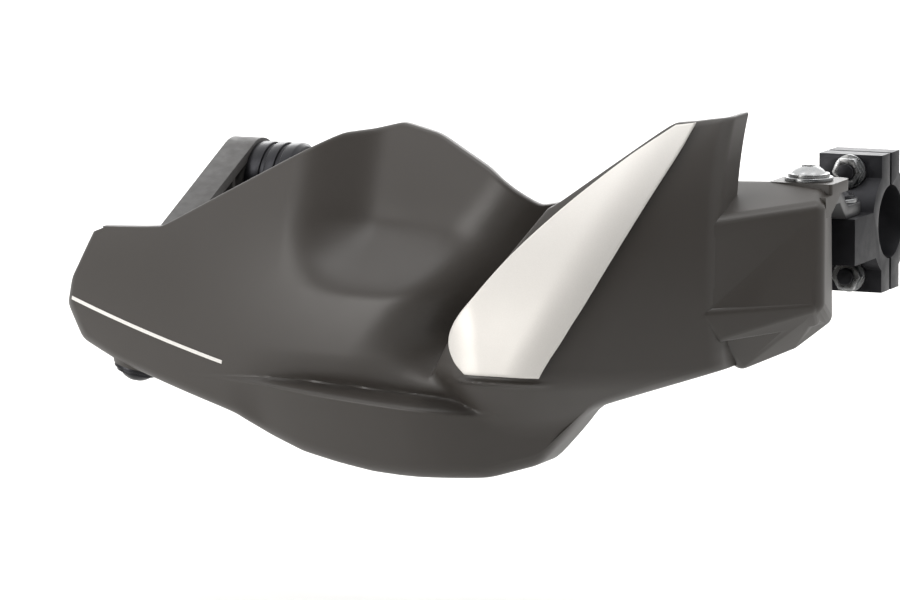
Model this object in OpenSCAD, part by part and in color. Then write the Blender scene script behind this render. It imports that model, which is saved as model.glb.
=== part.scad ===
// Motorcycle hand guard: a moulded shell with a silver inlay, carried at its outer end by an
// arm that is clamped to the handlebar's end, and at its inner end by a stay on a bar clamp.
// Millimetres. The origin is the middle of the handlebar's end face, on the bar's axis.
// +X runs inboard along the bar, -Y points forward and +Z is up.

/* [Guard shell] */
// Length of the shell's face, from the outer tip to the panel's inboard edge
guard_len = 223.5; // [200:0.5:245]
// Height of the shell's face, from its lowest edge to the panel's top corner
guard_h = 109.5; // [98:0.5:122]
// Reach of the shell in front of the bar's axis
guard_reach = 103; // [96:0.5:112]
// Wall of the moulded shell
skin_t = 3; // [2.4:0.1:3.6]
// Depth of the lip that turns back along the outer and lower edges
lip_depth = 18; // [15:0.5:22]
// Radius where the face turns into the lip
edge_round = 5; // [4.2:0.2:7]
// How far the hollow beside the peak steps back
hollow_depth = 13; // [6:0.5:16]
// How far the face drops towards the foot of the inlay, for each millimetre across
valley_slope = 0.85; // [0.5:0.05:1.1]
// Width of the return wall on the panel's inboard edge
return_w = 11; // [8:0.5:14]
// Radius where the panel turns into its return wall
return_round = 4; // [3.6:0.1:5]

/* [Lever pocket] */
// Length of the pocket inboard of the panel's edge
pocket_len = 29; // [24:0.5:34]
// How far the rounded sill stands out along the foot of the pocket's front
sill_out = 1.6; // [0.8:0.1:2.4]
// Height of the pocket's front at its inboard end
pocket_h = 34.5; // [30:0.5:40]
// Depth of the pocket from its front to its open back, at its inboard end
pocket_deep = 14; // [11:0.5:18]
// Radius of the pocket's edges
pocket_r = 3.5; // [3.2:0.1:5]
// Thickness of the fixing tab behind the pocket's ledge
tab_t = 3.4; // [3:0.1:5]
// Length of the fixing tab towards the bar
tab_len = 17; // [15:0.5:20]

/* [Silver inlay] */
// Thickness of the silver inlay
inlay_t = 1.2; // [0.8:0.1:2]
// Thickness of the adhesive foam under the inlay
tape_t = 0.6; // [0.4:0.1:1]

/* [Handlebar] */
// Outside diameter of the handlebar
bar_d = 22.2; // [22:0.1:22.4]
// Inside diameter of the handlebar's end
bar_bore_d = 17.6; // [16:0.1:18.6]
// Clearance on radius between the rubber plug and the bar
plug_clear = 0.2; // [0.1:0.05:0.3]
// Length of the rubber plug
plug_len = 20; // [16:0.5:26]

/* [Bar end] */
// Diameter of the turned spacer between the bar and the arm
spacer_d = 30; // [28:0.5:36]
// Length of the spacer
spacer_len = 15; // [12:0.5:20]
// Width of each groove turned in the spacer
groove_w = 1.6; // [1:0.1:2.4]
// Depth of each groove turned in the spacer
groove_deep = 1; // [0.5:0.1:1.6]
// Diameter of the bar end screw
bar_screw_d = 8; // [6:0.5:8]
// Diameter of the bar end screw's head
bar_head_d = 13; // [12.5:0.5:15]
// Height of the bar end screw's head
bar_head_h = 8; // [6:0.5:8]

/* [Outer arm] */
// Width of the arm along the bar
arm_w = 9.5; // [8.5:0.5:13]
// Diameter of the arm's eye around the bar end screw
arm_eye_d = 32; // [30:0.5:38]
// Thickness of the arm's web
arm_web_t = 3.5; // [2.5:0.1:5]
// Thickness of the arm's rim and ribs
arm_rib_t = 3; // [2:0.1:4]
// Height of the arm's front end inside the shell
arm_front_h = 33; // [28:0.5:38]
// Diameter of the boss that takes the outer screw
foot_d = 12.4; // [12:0.1:13]
// Height of that boss above the lip
foot_h = 9.5; // [9:0.5:12]
// Gap between the arm's front and the inside of the shell
arm_clear = 1.2; // [0.8:0.1:3]

/* [Inner stay] */
// Width of the steel stay
stay_w = 15; // [14:0.5:18]
// Thickness of the steel stay
stay_t = 4; // [3:0.1:5]
// Drop of the stay's bend from the tab to the clamp
stay_drop = 5.5; // [5:0.1:6]

/* [Bar clamp] */
// Width of the clamp along the bar
clamp_w = 20; // [18:0.5:24]
// Wall of the clamp around the bar
clamp_wall = 5; // [4:0.1:7]
// Gap between the two halves of the clamp
clamp_gap = 1.6; // [1:0.1:2.4]
// Length of the clamp's block in front of the stay's screw
block_nose = 8.5; // [8:0.5:11]
// Height of that block
block_h = 14; // [12:0.5:16]

/* [Fasteners] */
// Thread diameter of the guard's screws
screw_d = 6; // [5:0.5:6]
// Flange diameter of the guard's screws
screw_flange_d = 12.5; // [11:0.5:14]
// Height of the guard's screw heads
screw_head_h = 3.6; // [3:0.1:4.5]
// Diameter of the washers
washer_d = 14.5; // [14:0.5:16]
// Thickness of the washers
washer_t = 1.2; // [1:0.1:1.6]
// Thread diameter of the clamp's screws
clamp_screw_d = 5; // [4:0.5:6]
// Clearance on radius between a screw and its hole
hole_clear = 0.3; // [0.2:0.05:0.4]

/* [Hidden] */
$fn = 48;

// Outline of the face, as [along the bar, height] in the drawn size. Three lines run from the
// outer tip to the inboard edge: the top rim, the crease above the chin, and the lower edge.
rim_top = [[-45.6, -6.7], [-39.2, -6], [-33.5, -5.4], [-26.8, -4.7], [-19.1, -3.7],
           [41.6, 28], [50.7, 29.3], [60.3, 31.7], [74.1, 29.4], [94.3, 21.2],
           [110.1, 10.7], [118.4, 11.7], [150.2, 36.5], [156.4, 37], [159.5, 37.4],
           [162.5, 37.7]];
crease = [[-44.5, -6.6], [-50, -18], [-49, -27], [-43, -35], [-30, -42],
          [20, -46.2], [30, -46.4], [40, -46.9], [50, -47.4], [60, -47.9],
          [70, -48.2], [76, -47.8], [100, -39.5], [121, -38], [140, -36.5],
          [162.8, -31]];
rim_low = [[-50, -8.6], [-59.6, -24.6], [-61.2, -32.6], [-54, -42.6], [-38, -47.4],
           [9.7, -57.5], [21.5, -63.6], [33.8, -67.6], [46.9, -69.8], [58.7, -71.3],
           [68.6, -71.7], [74.8, -71.7], [95.9, -71.1], [110.6, -66.9], [128, -48.6],
           [162.5, -37.5]];
// Columns between neighbouring points of those lines, and rows above and below the crease
col_steps = [3, 2, 2, 3, 8, 3, 3, 3, 3, 3, 5, 7, 4, 3, 3];
rows_up = 18;
rows_low = 7;
rows_round = 3;
// Rows crowd towards the crease by this power
row_crowd = 1.45;
cols_round = 3;
rows_face = rows_up + rows_low;
rows_all = rows_face + rows_round + 2;
last_key = len(rim_top) - 1;
// Height of the ridge under the crease, where it turns down and where it sinks away inboard, and
// the band's inner foot
ridge_z = -46;
ridge_turn = 25;
ridge_end = 86;
band_foot = [121, -36];
// The band that carries the inlay starts between these two points of the lines
band_key = 10;
corner_soft = 0.1;

// Scale from the drawn outline to the sizes asked for
kx = guard_len / (rim_top[last_key][0] - rim_low[2][0]);
kz = guard_h / (rim_top[last_key][1] - rim_low[band_key][1]);
ky = guard_reach / 103;
// Way from the face towards the bar
back = [0, 1, 0];

// Lever pocket, as distances forward and up: its front, its open back, its ledge and its centres
// of rounding
panel_x = rim_top[last_key][0] * kx;
pocket_x = panel_x + pocket_len - pocket_r;
pocket_front = 62.5 * ky - pocket_r;
pocket_back = pocket_front - pocket_deep + pocket_r;
pocket_in = panel_x - 4;
pocket_in_front = pocket_front + 0.72 * (pocket_x - pocket_in) - 1.6;
ledge_top = 17.3 * kz;
ledge_z = ledge_top - pocket_r;
front_top = ledge_z - 3.6;
front_low = front_top - pocket_h + 2 * pocket_r;
pocket_balls = [
    [pocket_in, pocket_in_front, front_top - 4.5], [pocket_x, pocket_front, front_top],
    [pocket_in + 2, pocket_in_front - 1, front_low - 2], [pocket_x, pocket_front, front_low],
    [pocket_in + 1, pocket_back + 7, ledge_z], [pocket_x - 2, pocket_back, ledge_z],
    [pocket_in + 7, pocket_back + 10, front_low - 17.5], [pocket_x - 10, pocket_back + 3, front_low - 12],
    [pocket_x - 1.5, pocket_back, front_low - 5]];

// Ribs inside the chin, as places along the lines, their thickness and how deep they root
rib_keys = [6.5, 8.3, 10];
rib_t = 2;
rib_root = 0.8;

// Silver inlay: its left and right edges on the band, from the top to the foot, in the drawn size
inlay_left = [[151.6, 35.4], [138.3, 24.9], [123.2, 11.8], [109.4, -1.9], [98.2, -15.5],
              [93.2, -23], [92, -28.4], [94.2, -33.2], [98.1, -36.6]];
inlay_right = [[156.8, 36.2], [153.7, 27.9], [148, 15.7], [140.9, 1.1], [133.2, -13.9],
               [129.2, -20.9], [126.2, -26.2], [123.2, -31], [120, -36.5]];
inlay_cols = 8;
// Gap between the foam's flat facets and the shell's
skin_gap = 0.35;

// Screws, sleeves and nuts
screw_hole_r = screw_d / 2 + hole_clear;
thread_gap = 0.05;
sleeve_r = screw_hole_r + 0.9;
sleeve_gap = 0.1;
head_rim = 1;
head_dome_sink = 4;
hex_deep = 2.4;
function hex_socket(d) = 0.88 * d;
nut_h = 6;
nut_across = 10;
nut_flange_d = 13;
nut_rim = 1.2;
insert_d = screw_d + 2.4;
insert_len = 7;

// Outer fixing: a screw from below through the lip into the arm
lip_key = 4.1;
lip_run = face_pt(lip_key + 0.4, 2) - face_pt(lip_key - 0.4, 2);
lip_tilt = -atan2(lip_run[2], lip_run[0]);
lip_at = face_pt(lip_key, 2) + back * (lip_depth - screw_flange_d / 2 - 1.5);
seat_rise = 0.5;
pad_t = skin_t + 2 * seat_rise;

// Outer arm: its face towards the shell and its top, at the shell's side
arm_x = -spacer_len - arm_w;
arm_seat = 5.5;
arm_corner = 3;
arm_top = rim_top[4][1] * kz - 3;
arm_face = ky * relief(arm_x / kx, arm_top / kz, 0) - 1.1 * skin_t - arm_clear;

// Bar end: the screw's head seat, the plug and its coned nut
bar_hole_r = bar_screw_d / 2 + hole_clear;
bar_head_x = -spacer_len - arm_seat - washer_t;
plug_r = bar_bore_d / 2 - plug_clear;
plug_washer_t = 1.5;
nut_len = 12;
nut_cone = 5;
cone_gap = 0.3;
cone_low_r = bar_screw_d / 2 + 0.5;
cone_high_r = plug_r - 1.4;

// Inner fixing: the tab behind the ledge, the bent stay under it and the clamp's block
stay_gap = 0.4;
gusset_t = 2;
gusset_h = 6;
tab_half = stay_w / 2 + stay_gap + gusset_t;
tab_x = pocket_x + pocket_r - tab_half - 0.1;
tab_round = 4;
tab_front = pocket_back + pocket_r;
stay_corner = 4;
inner_y = -(tab_front - tab_len + screw_flange_d / 2 + 4);
inner_at = [tab_x, inner_y, ledge_top];
stay_top = ledge_top - tab_t;
stay_low = stay_top - stay_drop;
block_top = stay_low - stay_t;
stay_tip = screw_flange_d / 2 + 1.5 - inner_y;
bend_ease = 1.6;
bend_from = -inner_y - nut_flange_d / 2 - bend_ease - 0.2;
bend_to = bend_from - stay_drop;
stay_screw_y = washer_d / 2 + 0.5 - bend_to;
clamp_r = bar_d / 2 + clamp_wall;
stay_end = clamp_r + 1;
block_front = block_nose - stay_screw_y;
block_floor = 2;

// Ears of the clamp: half their depth, and the height of their screws
ear_t = 8;
ear_z = bar_d / 2 + clamp_screw_d / 2 + 2.2;
clamp_nut_h = 4;
clamp_flange_d = 2 * clamp_screw_d;

// Smooth maximum, minimum and step
function smax(a, b, k) = let (h = max(k - abs(a - b), 0) / k) max(a, b) + h * h * k / 4;
function smin(a, b, k) = -smax(-a, -b, k);
function soft(v, lo, hi) = let (t = min(max((v - lo) / (hi - lo), 0), 1)) t * t * (3 - 2 * t);
function mix(a, b, t) = a * (1 - t) + b * t;
function unit(v) = v / norm(v);

// Forward reach of the lobe along the bar, and of the face over its height
function lobe(x) = 103 - pow(x - 100, 2) / 484;
function lean(x, z) = let (h = z + 20 - 0.04 * (x + 20)) smax(0.4 * h, -0.1 * h, 14);
function hollow(x, z) = hollow_depth * soft(x, 28, 57) * soft(z, -19, 4) * (1 - soft(x, 57, 122));
function valley(x, z) =
    smax(valley_slope * (0.806 * (x - 101) - 0.592 * (z - 16)), 0, 7) * soft(z, -46, -26);
function tuck(x, z) = smax(0.8 * (-41 - z), 0, 5) * soft(x, 8, 44);
function behind_band(x, z) = smax(1.3 * (x - 106), 0, 10) * (1 - soft(z, -46, -26));
function face(x, z) =
    lobe(x) - lean(x, z) - hollow(x, z) - valley(x, z) - tuck(x, z) - behind_band(x, z);
// The chin stands out under a crease and falls back to the lower edge
function chin_ridge(x) = 104 - pow(min(x - 95, 0), 2) / 350 - smax(0.45 * (x - ridge_end), 0, 6);
function ridge_line(x) = ridge_z - 0.05 * max(x - ridge_turn, 0);
function chin(x, z) =
    smin(chin_ridge(x) + 0.4 * (z - ridge_line(x) + 1), chin_ridge(x) - 3.5 * (z - ridge_line(x)), 3);
// The band under the inlay, with the panel falling away inboard of it and the nose below it
function crown(z) = 109.5 - 0.12 * (z + 30) - 0.0055 * pow(z + 30, 2);
function band_edge(z) = band_foot[0] + (z - band_foot[1]) * 36 / 73;
function panel(x, z) = smin(crown(z), crown(z) - 0.8 * (x - band_edge(z)), 9);
function band(x, z) = smin(panel(x, z), 108 + 0.9 * (x - 94), 6) - smax(0.95 * (-38.5 - z), 0, 3);
function relief(x, z, u) = smax(smax(face(x, z), chin(x, z), 3),
    band(x, z) - 45 * (1 - soft(u, band_key, band_key + 0.95)), 3);

// Point of a line at a place between its points, with its corners a little softened
function at_key(line, u) =
    let (w = min(max(u, 0), last_key), k = min(floor(w), last_key - 1)) mix(line[k], line[k + 1], w - k);
function along(line, u) =
    (at_key(line, u - corner_soft) + 2 * at_key(line, u) + at_key(line, u + corner_soft)) / 4;
function place(p, u) = [p[0] * kx, -relief(p[0], p[1], u) * ky, p[1] * kz];
// Point of the face: s runs from 0 at the top rim over 1 at the crease to 2 at the lower edge
function face_pt(u, s) = place(
    s <= 1 ? mix(along(rim_top, u), along(crease, u), s)
           : mix(along(crease, u), along(rim_low, u), s - 1), u);
function low_round(u) = min(edge_round, 0.45 * norm(face_pt(u, 2) - face_pt(u, 1)));
function low_dir(u) = unit(face_pt(u, 2) - face_pt(u, 1.7));

// The lip grows shallower at the outer tip and under the pocket
function lip_len(u) = lip_depth * (0.4 + 0.6 * soft(u, 0, 3) - 0.6 * soft(u, last_key - 2, last_key));

// Rows of the shell: the face, the round into the lip, and the lip
function row_s(u, i) = i <= rows_up ? 1 - pow(1 - i / rows_up, row_crowd)
    : 1 + (i - rows_up) / rows_low * (1 - low_round(u) / norm(face_pt(u, 2) - face_pt(u, 1)));
function lip_turn(i) = 90 * (i - rows_face) / rows_round;
function shell_row(u, i) =
    i <= rows_face ? face_pt(u, row_s(u, i))
    : i <= rows_face + rows_round
        ? let (r = low_round(u), d = low_dir(u), a = lip_turn(i))
          face_pt(u, 2) + r * (d * (sin(a) - 1) + back * (1 - cos(a)))
    : face_pt(u, 2) + back * lip_len(u);
// Direction and length of the way through the wall at the same place
function slope_at(x, z) = norm([relief(x + 2, z, 0) - relief(x - 2, z, 0),
                                relief(x, z + 2, 0) - relief(x, z - 2, 0)]) / 4;
function wall_grow(u, i, p) = min(1.6, sqrt(1 + pow(slope_at(p[0] / kx, p[2] / kz), 2)))
    + (u > band_key && u < band_key + 1 && i < rows_up ? 1.2 * sin(180 * (u - band_key)) : 0);
function wall_way(u, i, p) =
    i <= rows_face ? back * skin_t * wall_grow(u, i, p)
    : let (a = min(lip_turn(i), 90)) skin_t * (back * cos(a) - low_dir(u) * sin(a));

// Columns of the shell, with the return wall after the last of them
cols = concat([for (k = [0 : last_key - 1]) for (i = [0 : col_steps[k] - 1]) k + i / col_steps[k]],
              [last_key]);
cols_all = len(cols) + cols_round + 1;
// The return wall's free edge keeps one depth past the rows that already turn back
function return_at(i) = i <= rows_face ? return_w
    : max(return_w - (i < rows_all - 1 ? low_round(last_key) : lip_len(last_key)), 0.5);
function edge_dir(i) = unit(shell_row(last_key, i) - shell_row(last_key - 0.3, i));
function outer_pt(j, i) =
    j < len(cols) ? shell_row(cols[j], i)
    : let (a = min(90 * (j - len(cols) + 1) / cols_round, 90))
      shell_row(last_key, i) + return_round * (edge_dir(i) * sin(a) + back * (1 - cos(a)))
      + (j == cols_all - 1 ? back * return_at(i) : [0, 0, 0]);
function inner_pt(j, i) =
    let (p = outer_pt(j, i))
    j < len(cols) ? p + wall_way(cols[j], i, p)
    : let (a = min(90 * (j - len(cols) + 1) / cols_round, 90))
      p + wall_way(last_key, i, p) * cos(a) - skin_t * edge_dir(i) * sin(a);

// Closed sheet between two grids of points with the same rows and columns
module sheet(front, rear) {
    n = len(front);
    m = len(front[0]);
    points = concat([for (c = front) for (p = c) p], [for (c = rear) for (p = c) p]);
    function id(j, i, side) = side * n * m + j * m + i;
    faces = concat(
        [for (j = [0 : n - 2]) for (i = [0 : m - 2]) for (f = [
            [id(j, i, 0), id(j, i + 1, 0), id(j + 1, i + 1, 0)],
            [id(j, i, 0), id(j + 1, i + 1, 0), id(j + 1, i, 0)],
            [id(j, i, 1), id(j + 1, i + 1, 1), id(j, i + 1, 1)],
            [id(j, i, 1), id(j + 1, i, 1), id(j + 1, i + 1, 1)]]) f],
        [for (j = [0 : n - 2]) for (f = [
            [id(j, 0, 0), id(j + 1, 0, 0), id(j + 1, 0, 1)],
            [id(j, 0, 0), id(j + 1, 0, 1), id(j, 0, 1)],
            [id(j, m - 1, 0), id(j + 1, m - 1, 1), id(j + 1, m - 1, 0)],
            [id(j, m - 1, 0), id(j, m - 1, 1), id(j + 1, m - 1, 1)]]) f],
        [for (i = [0 : m - 2]) for (f = [
            [id(0, i, 0), id(0, i + 1, 1), id(0, i + 1, 0)],
            [id(0, i, 0), id(0, i, 1), id(0, i + 1, 1)],
            [id(n - 1, i, 0), id(n - 1, i + 1, 0), id(n - 1, i + 1, 1)],
            [id(n - 1, i, 0), id(n - 1, i + 1, 1), id(n - 1, i, 1)]]) f]);
    polyhedron(points, [for (f = faces) [f[0], f[2], f[1]]]);
}

module skin() {
    sheet([for (j = [0 : cols_all - 1]) [for (i = [0 : rows_all - 1]) outer_pt(j, i)]],
          [for (j = [0 : cols_all - 1]) [for (i = [0 : rows_all - 1]) inner_pt(j, i)]]);
}

// Lever pocket: its rounded walls are hulled over balls
module ball_at(p, r) {
    translate([p[0], -p[1], p[2]])
        sphere(r, $fn = 20);
}

module pocket_outside() {
    hull()
        for (p = pocket_balls)
            ball_at(p, pocket_r);
}

// Rounded sill along the foot of the pocket's front
module pocket_sill() {
    r = pocket_r - 0.7;
    hull() {
        ball_at([pocket_in + 3, pocket_in_front - 1.6 + sill_out, front_low - 2.2], r);
        ball_at([pocket_x - 0.7, pocket_front + sill_out, front_low - 0.8], r);
        ball_at([pocket_in + 6, pocket_in_front - 4, front_low - 8], r);
        ball_at([pocket_x - 2, pocket_front - 4, front_low - 5], r);
    }
}

// The hollow runs on through the open back
module pocket_inside() {
    r = pocket_r - skin_t;
    hull()
        for (p = pocket_balls) {
            ball_at(p, r);
            translate([p[0] - r, -pocket_back + 12, p[2] - r])
                cube([2 * r, 4, 2 * r]);
        }
}

module tab() {
    hull()
        for (side = [-1, 1]) {
            translate([tab_x + side * (tab_half - tab_round), -(tab_front - tab_len + tab_round), stay_top])
                cylinder(r = tab_round, h = tab_t, $fn = 32);
            translate([tab_x + side * (tab_half - 1), -tab_front, stay_top])
                cylinder(r = 1, h = tab_t, $fn = 24);
        }
}

// Gusset under the tab, beside the stay
module gusset(side) {
    x = tab_x + side * (tab_half - gusset_t / 2);
    hull() {
        translate([x, -tab_front - 4, stay_top - gusset_h / 2])
            cube([gusset_t, 4, gusset_h], center = true);
        translate([x, -tab_front + gusset_h, stay_top])
            cube([gusset_t, 2, 1], center = true);
    }
}

// Room for the stay through the pocket's end wall, under the tab
module stay_room() {
    wide = stay_w + 2 * stay_gap;
    translate([tab_x - wide / 2, -stay_tip - stay_gap, stay_top - stay_t - stay_gap])
        cube([wide, pocket_deep, stay_t + stay_gap]);
}

// Frame of the outer screw: its Z points up through the lip
module at_lip(rise) {
    translate(lip_at)
        rotate([0, lip_tilt, 0])
            translate([0, 0, rise])
                children();
}

// Raised seat on both sides of the lip
module lip_pad() {
    hull() {
        at_lip(-seat_rise)
            cylinder(d = washer_d + 1, h = pad_t, $fn = 40);
        at_lip(skin_t / 2)
            cylinder(d = washer_d + 2.5, h = 0.4, $fn = 40);
    }
}

// Rib inside the shell, from the lip up the back of the chin
module shell_rib(u) {
    low = face_pt(u, 2);
    d = low_dir(u);
    hull() {
        translate(low - d * (low_round(u) + 1) + back * (skin_t * 0.7))
            cube([rib_t, 2, 2], center = true);
        translate(low - d * (skin_t * rib_root) + back * (lip_depth - 2.5))
            cube([rib_t, 2, 1], center = true);
        translate(face_pt(u, 1.25) + back * (skin_t * rib_root))
            cube([rib_t, 1.4, 2], center = true);
    }
}

module shell() {
    color("dimgray")
        difference() {
            union() {
                difference() {
                    union() {
                        skin();
                        pocket_outside();
                        pocket_sill();
                    }
                    pocket_inside();
                    stay_room();
                }
                tab();
                lip_pad();
                for (u = rib_keys)
                    shell_rib(u);
                for (side = [-1, 1])
                    gusset(side);
            }
            translate(inner_at + [0, 0, -tab_t - 1])
                cylinder(r = sleeve_r + sleeve_gap, h = tab_t + 2, $fn = 32);
            at_lip(-seat_rise - 1)
                cylinder(r = sleeve_r + sleeve_gap, h = pad_t + 2, $fn = 32);
        }
}

// Silver inlay: a point of its bed on the band, at one height k and a part w of its width
function inlay_pt(k, w, lift) =
    let (p = mix(inlay_left[k], inlay_right[k], w), e = 1,
         gx = (band(p[0] + e, p[1]) - band(p[0] - e, p[1])) / (2 * e),
         gz = (band(p[0], p[1] + e) - band(p[0], p[1] - e)) / (2 * e),
         n = unit([-gx, -1, -gz]))
    [p[0] * kx, -band(p[0], p[1]) * ky, p[1] * kz] + n * lift;
function inlay_grid(inset, lift) =
    [for (j = [inset : inlay_cols - inset])
        [for (k = [inset : len(inlay_left) - 1 - inset]) inlay_pt(k, j / inlay_cols, lift)]];

module inlay() {
    color("silver")
        sheet(inlay_grid(0, skin_gap + tape_t + inlay_t), inlay_grid(0, skin_gap + tape_t));
}

// Adhesive foam, one step of the grid inside the inlay's edge
module inlay_tape() {
    color("black")
        sheet(inlay_grid(1, skin_gap + tape_t), inlay_grid(1, skin_gap));
}

// Screw with its head's seat at z = 0, its domed head above and its shank below
module flange_screw(shank) {
    difference() {
        union() {
            cylinder(d = screw_flange_d, h = head_rim);
            translate([0, 0, head_rim])
                rotate_extrude()
                    intersection() {
                        translate([0, -head_dome_sink])
                            circle(r = screw_head_h - head_rim + head_dome_sink, $fn = 64);
                        square([screw_flange_d / 2 - 0.8, screw_head_h - head_rim]);
                    }
            translate([0, 0, -shank])
                cylinder(d = screw_d, h = shank);
        }
        translate([0, 0, screw_head_h - hex_deep])
            cylinder(d = hex_socket(screw_d), h = hex_deep + 1, $fn = 6);
    }
}

module washer(d, hole_r, t) {
    difference() {
        cylinder(d = d, h = t);
        translate([0, 0, -1])
            cylinder(r = hole_r, h = t + 2);
    }
}

// Hexagon nut with a flange at z = 0, growing towards +Z
module flange_nut(d, across, height, flange) {
    difference() {
        union() {
            cylinder(d = flange, h = nut_rim);
            cylinder(d = across / cos(30), h = height, $fn = 6);
        }
        translate([0, 0, -1])
            cylinder(r = d / 2 + thread_gap, h = height + 2);
    }
}

// Outer screw, washer, sleeve and threaded insert
module outer_sleeve() {
    color("silver")
        at_lip(-seat_rise)
            washer(2 * sleeve_r, screw_hole_r, pad_t);
}

module outer_washer() {
    color("black")
        at_lip(-seat_rise - washer_t)
            washer(washer_d, screw_hole_r, washer_t);
}

module outer_screw() {
    color("black")
        at_lip(-seat_rise - washer_t)
            rotate([180, 0, 0])
                flange_screw(washer_t + pad_t + insert_len);
}

module outer_insert() {
    color("gold")
        at_lip(pad_t - seat_rise)
            washer(insert_d, screw_d / 2 + thread_gap, insert_len);
}

// Outer arm: a moulded channel from the bar end to the shell's lower outer corner. Its side
// view is drawn with the first axis forward and the second up, then turned to stand along the bar.
module along_side(x) {
    translate([x, 0, 0])
        rotate([90, 0, -90])
            mirror([0, 0, 1])
                children();
}

module arm_side() {
    offset(r = arm_corner)
        offset(delta = -arm_corner)
            hull() {
                circle(d = arm_eye_d);
                translate([arm_face - 11, arm_top - 6])
                    square([11, 6]);
                translate([arm_face - 24, arm_top - arm_front_h])
                    square([22, 8]);
            }
}

module arm_recess() {
    along_side(arm_x + arm_web_t)
        linear_extrude(arm_w)
            difference() {
                offset(delta = -arm_rib_t)
                    arm_side();
                circle(d = arm_eye_d - 4);
            }
}

module arm_ribs() {
    for (f = [0.3, 0.55, 0.8])
        along_side(arm_x + arm_web_t / 2)
            linear_extrude(arm_w - arm_web_t / 2 - 1)
                intersection() {
                    arm_side();
                    translate([f * arm_face, -arm_eye_d * 2])
                        square([arm_rib_t * 0.7, arm_eye_d * 4]);
                }
}

// Boss over the lip that takes the outer screw
module arm_foot() {
    hull() {
        at_lip(pad_t - seat_rise)
            cylinder(d = foot_d, h = foot_h, $fn = 40);
        translate([arm_x, -arm_face + 5, arm_top - arm_front_h + 1])
            cube([arm_w - 1, 16, 12]);
    }
}

module arm_holes() {
    along_bar(arm_x - 1)
        cylinder(r = bar_screw_d / 2 + hole_clear, h = arm_w + 2);
    along_bar(arm_x - 1)
        cylinder(d = bar_head_d + 4, h = 1 + arm_w - arm_seat);
    at_lip(pad_t - seat_rise - 1)
        cylinder(d = insert_d, h = insert_len + 2);
}

module outer_arm() {
    color("dimgray")
        difference() {
            union() {
                difference() {
                    along_side(arm_x)
                        linear_extrude(arm_w)
                            arm_side();
                    arm_recess();
                }
                arm_ribs();
                arm_foot();
            }
            arm_holes();
        }
}

// Bar end: everything here turns about the bar's axis
module along_bar(x) {
    translate([x, 0, 0])
        rotate([0, 90, 0])
            children();
}

// Half section of the spacer: bore, two grooves, a chamfer and the recess for the plug's washer
module spacer_side() {
    difference() {
        translate([bar_hole_r, 0])
            square([spacer_d / 2 - bar_hole_r, spacer_len]);
        for (f = [0.35, 0.65])
            translate([spacer_d / 2 - groove_deep, f * spacer_len - groove_w / 2])
                square([groove_deep + 1, groove_w]);
        translate([spacer_d / 2, spacer_len])
            circle(r = 1.2, $fn = 4);
        translate([0, spacer_len - plug_washer_t])
            square([plug_r, plug_washer_t + 1]);
    }
}

module bar_end_spacer() {
    color("black")
        along_bar(-spacer_len)
            rotate_extrude()
                spacer_side();
}

module bar_end_washer() {
    color("silver")
        along_bar(bar_head_x)
            washer(bar_head_d + 3, bar_hole_r, washer_t);
}

module bar_end_screw() {
    color("black")
        difference() {
            union() {
                along_bar(bar_head_x)
                    cylinder(d = bar_screw_d, h = plug_len + nut_len - bar_head_x - 1);
                along_bar(bar_head_x - bar_head_h)
                    cylinder(d = bar_head_d, h = bar_head_h);
            }
            along_bar(bar_head_x - bar_head_h - 1)
                cylinder(d = hex_socket(bar_screw_d), h = bar_head_h * 0.6 + 1, $fn = 6);
        }
}

module plug_washer() {
    color("silver")
        along_bar(-plug_washer_t)
            washer(2 * plug_r - 0.4, bar_hole_r, plug_washer_t);
}

module plug_rubber() {
    color("black")
        difference() {
            along_bar(0)
                cylinder(r = plug_r, h = plug_len);
            along_bar(-1)
                cylinder(r = bar_hole_r, h = plug_len + 2);
            along_bar(plug_len - nut_cone)
                cylinder(r1 = cone_low_r, r2 = cone_high_r, h = nut_cone + 0.001);
        }
}

// Coned nut that spreads the rubber as the screw is drawn up
module plug_nut() {
    color("gold")
        difference() {
            union() {
                along_bar(plug_len - nut_cone + cone_gap)
                    cylinder(r1 = cone_low_r, r2 = cone_high_r, h = nut_cone);
                along_bar(plug_len + cone_gap)
                    cylinder(r = cone_high_r, h = nut_len - nut_cone);
            }
            along_bar(0)
                cylinder(r = bar_screw_d / 2 + thread_gap, h = plug_len + nut_len + 2);
        }
}

// Inner stay: a bent steel strip from the tab to the clamp's block
module stay_side() {
    polygon([[stay_tip, stay_top], [bend_from, stay_top], [bend_to, stay_low], [stay_end, stay_low],
             [stay_end, block_top], [bend_to + bend_ease, block_top],
             [bend_from + bend_ease, stay_top - stay_t], [stay_tip, stay_top - stay_t]]);
}

module stay_hole(y) {
    translate([tab_x, y, block_top - 1])
        cylinder(r = screw_hole_r, h = stay_top - block_top + 2);
}

module inner_stay() {
    color("black")
        difference() {
            intersection() {
                along_side(tab_x - stay_w / 2)
                    linear_extrude(stay_w)
                        stay_side();
                translate([tab_x, 0, 0])
                    linear_extrude(2 * stay_top)
                        offset(r = stay_corner, $fn = 32)
                            translate([-stay_w / 2 + stay_corner, -stay_tip + stay_corner])
                                square([stay_w - 2 * stay_corner, stay_tip - stay_end - 2 * stay_corner]);
            }
            stay_hole(inner_y);
            stay_hole(stay_screw_y);
        }
}

module inner_sleeve() {
    color("silver")
        translate([tab_x, inner_y, stay_top])
            washer(2 * sleeve_r, screw_hole_r, tab_t);
}

module inner_washer() {
    color("silver")
        translate(inner_at)
            washer(washer_d, screw_hole_r, washer_t);
}

module inner_screw() {
    color("silver")
        translate(inner_at + [0, 0, washer_t])
            flange_screw(washer_t + tab_t + stay_t + nut_h + 1);
}

module inner_nut() {
    color("silver")
        translate([tab_x, inner_y, stay_top - stay_t])
            rotate([180, 0, 0])
                flange_nut(screw_d, nut_across, nut_h, nut_flange_d);
}

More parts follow.
